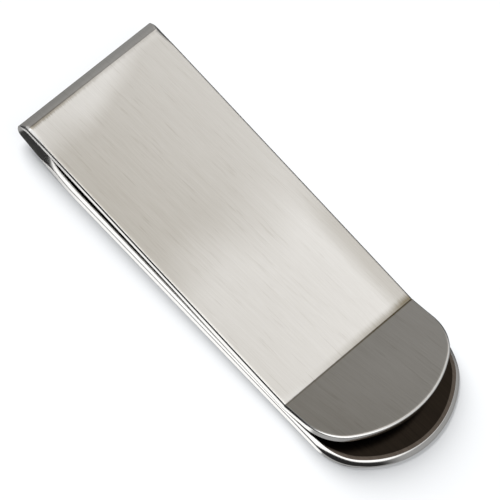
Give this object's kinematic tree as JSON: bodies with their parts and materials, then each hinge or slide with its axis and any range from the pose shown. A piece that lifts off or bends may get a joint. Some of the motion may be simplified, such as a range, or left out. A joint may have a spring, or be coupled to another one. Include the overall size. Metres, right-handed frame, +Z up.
{
  "type": "money clip",
  "caption": "Folded spring-steel money clip: a longer round-ended back leaf and a satin front leaf with a turned-up thumb lip, joined by a hairpin fold.",
  "frame": {"origin": "middle of the footprint, at the height of the surface the back leaf lies on", "axes": "+X from the fold to the round ends, +Y across the strip, +Z up from the back leaf to the front leaf"},
  "size_m": [0.0526, 0.02, 0.0035],
  "materials": {
    "brushed_steel": "polished edges and outer face of the strip",
    "satin_face": "satin, fine grain along the leaf"
  },
  "bodies": {
    "back": {"back_leaf": "brushed_steel", "ramp": "brushed_steel", "lower_bend": "brushed_steel"},
    "front": {"upper_bend": "brushed_steel", "front_leaf": "satin_face", "thumb_lip": "satin_face"}
  },
  "joints": [
    {"name": "clip_spring", "type": "hinge", "parent": "back", "child": "front", "pos_m": [-0.02625, 0, 0.00194], "axis": [0, -1, 0], "range_deg": [0, 6], "stiffness_Nm_per_rad": 4}
  ]
}
